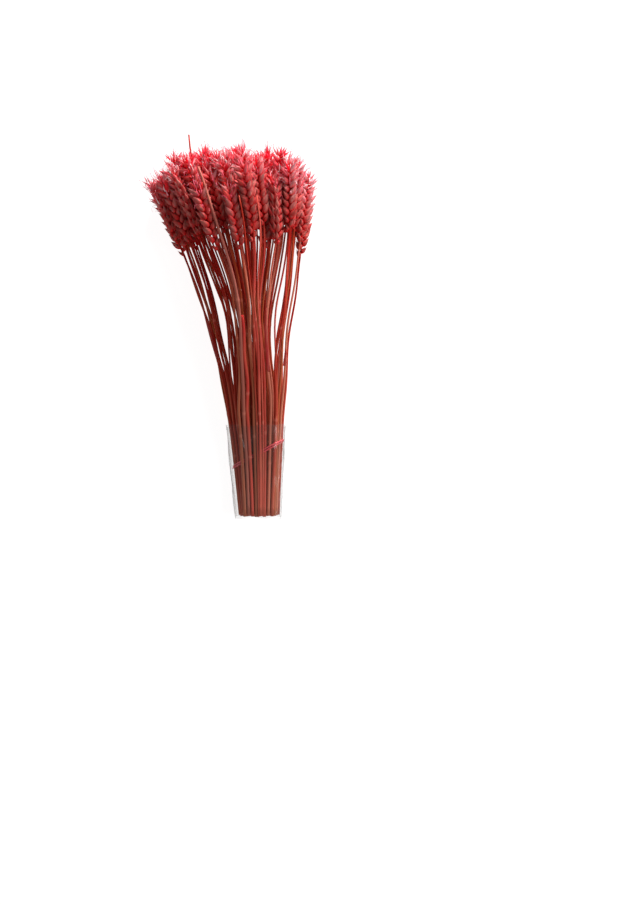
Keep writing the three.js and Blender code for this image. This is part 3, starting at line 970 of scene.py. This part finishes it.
# %% [markdown]
# ## Dry leaves
# What is left of a leaf clings to its straw as a thin, arched strip with a ragged end. The strip is a tube
# squeezed flat: its width follows a profile along the line, and its back is arched across. A flat card
# would look right from above only, and this strip has an edge from every side. Its finish is the straw's
# dye with long veins, which show better on a flat strip than on a straw.

# %% Leaf finish
LEAF_RED = (0.60, 0.035, 0.040, 1)
VEIN_RED = (0.34, 0.015, 0.016, 1)
LEAF_FADED = (0.62, 0.20, 0.14, 1)
LEAF_GLOW = (0.8, 0.06, 0.05, 1)

leaf = Finish("dry_leaf")
vein = leaf.noise(leaf.skin(40, 12))
faded = leaf.noise(leaf.skin(3, 60))
red = leaf.mix(vein, LEAF_RED, VEIN_RED)
leaf_colour = leaf.mix(leaf.math("MULTIPLY_ADD", faded, 1.6, -0.6), red, LEAF_FADED)
leaf.put(leaf.shader, {"Base Color": leaf_colour, "Roughness": 0.5, "Specular IOR Level": 0.25})
leaf.bump(vein, 0.6, 0.2 * MM)
leaf.shared(0.25, leaf.node("BsdfTranslucent", {"Color": LEAF_GLOW}))
print("finish:", leaf.material.name)

# %% Leaf surfaces
LEAF_SEED = 100
LEAF_SIDES = 14
LEAF_RINGS = 26
LEAF_SKIN = 0.2 * MM
LEAF_ARCH = 0.7 * MM
LEAF_CURL = 0.8 * MM
LEAF_RAGGED = 0.06
TORN_WIDTH = 0.25


def leaf_surface(line, rng):
    """An arched strip: half width * cos(turn) across, arch * (1 - cos squared) + skin * sin(turn) up.

    The half width is the frame's, narrowing by a third to the top, with a ragged edge and a torn end.
    """
    y = np.linspace(line.level[0], line.level[-1], LEAF_RINGS)
    share = (y - y[0]) / (y[-1] - y[0])
    _, right, up = line.axes(y)
    turn = np.linspace(0, 2 * np.pi, LEAF_SIDES, endpoint=False) + BOTTOM_SEAM
    torn = smooth_step(share, 0, 0.04) * (1 - smooth_step(share, 0.8, 1.05))
    ragged = 1 + rng.normal(0, LEAF_RAGGED, LEAF_RINGS)
    half = line.half[0, 0] * (1 - share / 3) * (TORN_WIDTH + (1 - TORN_WIDTH) * torn) * ragged
    lift = LEAF_ARCH * np.sin(turn) ** 2 + LEAF_SKIN * np.sin(turn)
    curl = LEAF_CURL * share**2 - LEAF_ARCH / 2
    middle = line.points(y) + curl[:, None] * up
    rings = (
        middle[:, None]
        + (half[:, None] * np.cos(turn))[..., None] * right[:, None]
        + lift[None, :, None] * up[:, None]
    )
    points = np.concatenate([middle[:1], rings.reshape(-1, 3), middle[-1:]])
    v = np.concatenate([[0], y - y[0], [y[-1] - y[0]]])
    return {
        "points": points,
        "material": leaf.material,
        "values": {"tint": np.zeros(len(points))},
        **tube_faces(1, LEAF_RINGS, LEAF_SIDES, v),
    }


for number, name in enumerate(LEAVES):
    strip = leaf_surface(lines[name], np.random.default_rng(LEAF_SEED + number))
    new_piece(name + "_strip", [strip], "dry_leaf", name)
print("leaves:", LEAVES)

# %% [markdown]
# ## Closed loops and open sheets
# The band is a ring that closes on itself both ways, and the sleeve is a sheet that closes around only.
# Both are grids of points, so one function numbers their faces. Both also follow a closed outline, and need
# the way along it and the way out of it.

# %% Faces of a grid, and outlines
def grid_faces(rows, columns, along, closed):
    """Quads of a grid whose rows close on themselves, and the last row on the first one too if closed.

    u is the share of the way round. along is v of each row, and of the first one once more if closed.
    """
    i = np.arange(rows if closed else rows - 1)[:, None]
    j = np.arange(columns)
    after_i, after_j = (i + 1) % rows, (j + 1) % columns
    corner = [i * columns + j, after_i * columns + j, after_i * columns + after_j, i * columns + after_j]
    quads = np.stack(np.broadcast_arrays(*corner), axis=-1).reshape(-1, 4)
    u0, u1 = j / columns, (j + 1) / columns
    v0, v1 = along[:-1, None], along[1:, None]
    uv = [np.stack(np.broadcast_arrays(u, v), -1) for u, v in ((u0, v0), (u0, v1), (u1, v1), (u1, v0))]
    return {
        "quads": quads,
        "triangles": np.zeros((0, 3), int),
        "quad_uv": np.stack(uv, axis=2).reshape(-1, 4, 2),
        "triangle_uv": np.zeros((0, 3, 2)),
    }


def way_along(points):
    """The length of a path up to each of its points: the sum of the steps before it."""
    return np.concatenate([[0], np.cumsum(np.linalg.norm(np.diff(points, axis=0), axis=1))])


def way_out(outline):
    """The way out of a closed outline at each point: the way ahead, turned a quarter to the right."""
    ahead = unit(np.roll(outline, -1, axis=-2) - np.roll(outline, 1, axis=-2))
    return np.stack([ahead[..., 1], -ahead[..., 0]], axis=-1)


# %% [markdown]
# ## Elastic band
# A thin rubber band is wound twice round the straws, on a slant. Its plane is fitted to the frame's band,
# and the straws it holds are those that pass inside. A plain ring would stand off the straws in places. A
# taut band round a bundle touches only the outermost ones: in each direction it lies just outside the straw
# that reaches furthest that way.

# %% Band finish
RUBBER_RED = (0.66, 0.040, 0.060, 1)
RUBBER_DUSTY = (0.86, 0.13, 0.15, 1)

rubber = Finish("pink_rubber")
dust = rubber.noise(rubber.skin(3, 400), 3.0)
rubber_colour = rubber.mix(dust, RUBBER_RED, RUBBER_DUSTY)
rubber.put(rubber.shader, {"Base Color": rubber_colour, "Roughness": 0.45, "Specular IOR Level": 0.2})
rubber.bump(dust, 0.2, 0.1 * MM)
print("finish:", rubber.material.name)

# %% Outline of the straws that the band holds
DIRECTIONS = 720
BAND_REACH = 2.95 * MM

band_points = node_points("elastic_band")
slant, level = np.polyfit(band_points[:, 0], band_points[:, 1], 1)
band_top = band_points[:, 2].max()
crossing = []
for name in EARED + BARE:
    at = lines[name].points(np.array([level]))[0]
    at = lines[name].points(np.array([level + slant * at[0]]))[0]
    if at[2] < band_top:
        crossing.append(at[[0, 2]])
crossing = np.array(crossing)
way = np.linspace(0, 2 * np.pi, DIRECTIONS, endpoint=False)
outward = np.column_stack([np.cos(way), np.sin(way)])
outermost = crossing[np.argmax(crossing @ outward.T, axis=0)]
taut = outermost + BAND_REACH * outward
taut = np.concatenate([taut, taut[:1]])
run = way_along(taut)
print("band holds", len(crossing), "straws, loop of", round(run[-1] * 1000), "mm")

# %% [markdown]
# ## Winds of the band
# The band's two winds lie side by side and cross once on the way. A sine of the way along the loop parts
# them, and a cosine lifts one over the other where they cross.

# %% Band
BAND_WINDS = 2
BAND_RINGS = 260
BAND_SIDES = 8
BAND_HALF_WIDTH = 0.85 * MM
BAND_HALF_THICKNESS = 0.4 * MM
BAND_APART = 1.5 * MM
BAND_OVER = 0.35 * MM
BAND_PHASE = 0.5

where = np.linspace(0, BAND_WINDS * run[-1], BAND_RINGS, endpoint=False)
loop = np.column_stack([np.interp(where % run[-1], run, taut[:, i]) for i in (0, 1)])
off = way_out(loop)
phase = np.pi * where / run[-1] + BAND_PHASE
loop = loop + BAND_OVER * np.cos(phase)[:, None] * off
middle = np.column_stack([loop[:, 0], level + slant * loop[:, 0] + BAND_APART * np.sin(phase), loop[:, 1]])
turn = 2 * np.pi * np.arange(BAND_SIDES) / BAND_SIDES
tangent = unit(np.roll(middle, -1, axis=0) - np.roll(middle, 1, axis=0))
normal = np.column_stack([off[:, 0], np.zeros(BAND_RINGS), off[:, 1]])
breadth = unit(np.cross(tangent, normal))
rings = (
    middle[:, None]
    + BAND_HALF_WIDTH * np.cos(turn)[:, None] * breadth[:, None]
    + BAND_HALF_THICKNESS * np.sin(turn)[:, None] * normal[:, None]
)
band = {
    "points": rings.reshape(-1, 3),
    "material": rubber.material,
    "values": {"tint": np.zeros(BAND_RINGS * BAND_SIDES)},
    **grid_faces(BAND_RINGS, BAND_SIDES, np.append(where, BAND_WINDS * run[-1]), True),
}
new_piece("elastic_band_loop", [band], "elastic_band", "elastic_band")
print("band:", BAND_WINDS, "winds,", round(BAND_WINDS * run[-1] * 1000), "mm in all")

# %% [markdown]
# ## Clear film sleeve
# The cut ends are wrapped in thin clear film. One sees it only by its creases, its glints and its edges, so
# it is nearly transparent where one looks straight through it and greyer where it turns away.

# %% Film finish
FILM_GREY = (0.22, 0.22, 0.21, 1)

film = Finish("clear_film")
haze = film.noise(film.skin(9, 30), 3.0)
scratch = film.noise(film.skin(160, 14))
film.put(film.shader, {"Base Color": FILM_GREY, "Roughness": 0.1, "Specular IOR Level": 0.8})
film.bump(film.math("ADD", haze, film.math("MULTIPLY", scratch, 0.4)), 0.35, 0.5 * MM)
facing = film.node("LayerWeight", {"Blend": 0.35}).outputs["Facing"]
edge_share = film.math("MULTIPLY", film.math("POWER", facing, 1.8), 0.5)
haze_patch = film.math("SMOOTH_MAX", film.math("SUBTRACT", haze, 0.52), 0.0, 0.05)
haze_share = film.math("MULTIPLY", haze_patch, 0.2)
seen = film.math("ADD", film.math("ADD", edge_share, haze_share), 0.04)
film.shared(film.math("SUBTRACT", 1, seen), film.node("BsdfTransparent"))
print("finish:", film.material.name)

# %% [markdown]
# ## Outline of the sleeve
# The sleeve is a sheet on a grid: an outline of four sides and four round corners, carried from the cut
# edge to the mouth. It is drawn in at the sides until it lies just outside the outermost straws.

# %% Outline of the sleeve
FILM_ROWS = 70
FILM_COLUMNS = 200
LOW_CORNER = 3 * MM
HIGH_CORNER = 13 * MM
CORNER_POINTS = 10
FILM_OFF = 2.8 * MM


def sleeve_outline(half_width, height, scale):
    """Points of four straight sides with quarter circles between them, from the middle of the underside."""
    quarter = np.linspace(0, np.pi / 2, CORNER_POINTS)
    low, high = LOW_CORNER * scale, HIGH_CORNER * scale
    centre_x = half_width - np.array([low, high, high, low])
    centre_z = np.array([low, height - high, height - high, low])
    radius = np.array([low, high, high, low])
    sign = np.array([1, 1, -1, -1])
    start = np.pi / 2 * np.array([-1, 0, 1, 2])
    angle = start[:, None] + quarter
    x = (sign * centre_x)[:, None] + radius[:, None] * np.cos(angle)
    z = centre_z[:, None] + radius[:, None] * np.sin(angle)
    bottom = np.array([[0.0, 0.0]])
    return np.concatenate([bottom, np.column_stack([x.ravel(), z.ravel()]), bottom])


def evenly(outline, count):
    """Points at even steps along a closed outline, and its whole length."""
    run = way_along(outline)
    step = np.linspace(0, run[-1], count, endpoint=False)
    return np.column_stack([np.interp(step, run, outline[:, i]) for i in (0, 1)]), run[-1]


sleeve_level, _, sleeve_half = sections("film_sleeve")
share = np.linspace(0, 1, FILM_ROWS)
length = sleeve_level[-1] - sleeve_level[0]
straw_x = np.array([lines[name].points(sleeve_level[[1, -1]])[:, 0] for name in EARED + BARE])
left, right = straw_x.min(0) - FILM_OFF, straw_x.max(0) + FILM_OFF
film_middle = np.interp(share, [0, 1], (left + right) / 2)
half_width = np.interp(share, [0, 1], (right - left) / 2)
height = np.interp(share, [0, 1], 2 * sleeve_half[[0, -1], 1])
rows = [evenly(sleeve_outline(w, h, w / half_width[0]), FILM_COLUMNS) for w, h in zip(half_width, height)]
outline = np.stack([points for points, _ in rows])
girth = np.array([whole for _, whole in rows])
print("sleeve: girth", [round(1000 * g) for g in girth[[0, -1]]], "mm, length", round(1000 * length), "mm")

# %% [markdown]
# ## Creases
# Creases push the film outwards along narrow ridges. Each one has its own place, lean, height and length: a
# bell shape across it, and a wider one along it. A slow wave is added, and both fade to nothing near the
# table, where the film lies flat. The two open edges wave a little as well. A cloth simulation could crease
# the film too, but a formula gives the same folds on every run.

# %% Creases
CREASE_SEED = 7
CREASES = 22
CREASE_HEIGHT = 1.2 * MM
CREASE_WIDTH = 1.6 * MM
CREASE_AROUND = (0.2, 0.8)
CREASE_LEAN = 0.16
CREASE_DEEP = (0.3, 1)
CREASE_SPAN = (0.15, 0.5)
SLOW_WAVE = 0.5 * MM
FREE_FROM, FREE_AT = 2 * MM, 8 * MM

rng = np.random.default_rng(CREASE_SEED)
around = np.linspace(0, 1, FILM_COLUMNS, endpoint=False)
at = rng.uniform(*CREASE_AROUND, CREASES)
lean = rng.normal(0, CREASE_LEAN, CREASES)
deep = CREASE_HEIGHT * rng.uniform(*CREASE_DEEP, CREASES)
centre = at + lean * (share[:, None] - 0.5)
span = rng.uniform(*CREASE_SPAN, CREASES)
fade = np.exp(-(((share[:, None] - rng.uniform(0, 1, CREASES)) / span) ** 2))
apart = (around[None, :, None] - centre[:, None]) * girth[:, None, None] / CREASE_WIDTH
ridge = (deep * fade[:, None] * np.exp(-(apart**2))).sum(-1)
slow = SLOW_WAVE * (1 + np.sin(2 * np.pi * (4 * around[None] + 2.3 * share[:, None])))
lifted = smooth_step(outline[..., 1], FREE_FROM, FREE_AT) * (ridge + slow)
outline = outline + lifted[..., None] * way_out(outline)
print("creases:", CREASES, "up to", round(1000 * lifted.max(), 1), "mm high")

# %% Film sleeve
FILM_THICKNESS = 0.15 * MM
EDGE_WAVE = 1.4 * MM

wave = EDGE_WAVE * (np.sin(6 * np.pi * around + 1) + 0.6 * np.sin(14 * np.pi * around))
y = sleeve_level[0] + share[:, None] * length + wave * (2 * share[:, None] - 1) ** 5 * 0.8
x = film_middle[:, None] + outline[..., 0]
sheet_points = np.stack([x, y, outline[..., 1]], axis=-1)
sheet = {
    "points": sheet_points.reshape(-1, 3),
    "material": film.material,
    "values": {"tint": np.zeros(FILM_ROWS * FILM_COLUMNS)},
    **grid_faces(FILM_ROWS, FILM_COLUMNS, share * length, False),
}
sleeve = new_piece("film_sleeve_sheet", [sheet], "clear_film", "film_sleeve")
wall = sleeve.modifiers.new("wall", "SOLIDIFY")
wall.thickness = FILM_THICKNESS
at_mouth = np.array([lines[name].points(sleeve_level[-1:])[0, [0, 2]] for name in EARED])
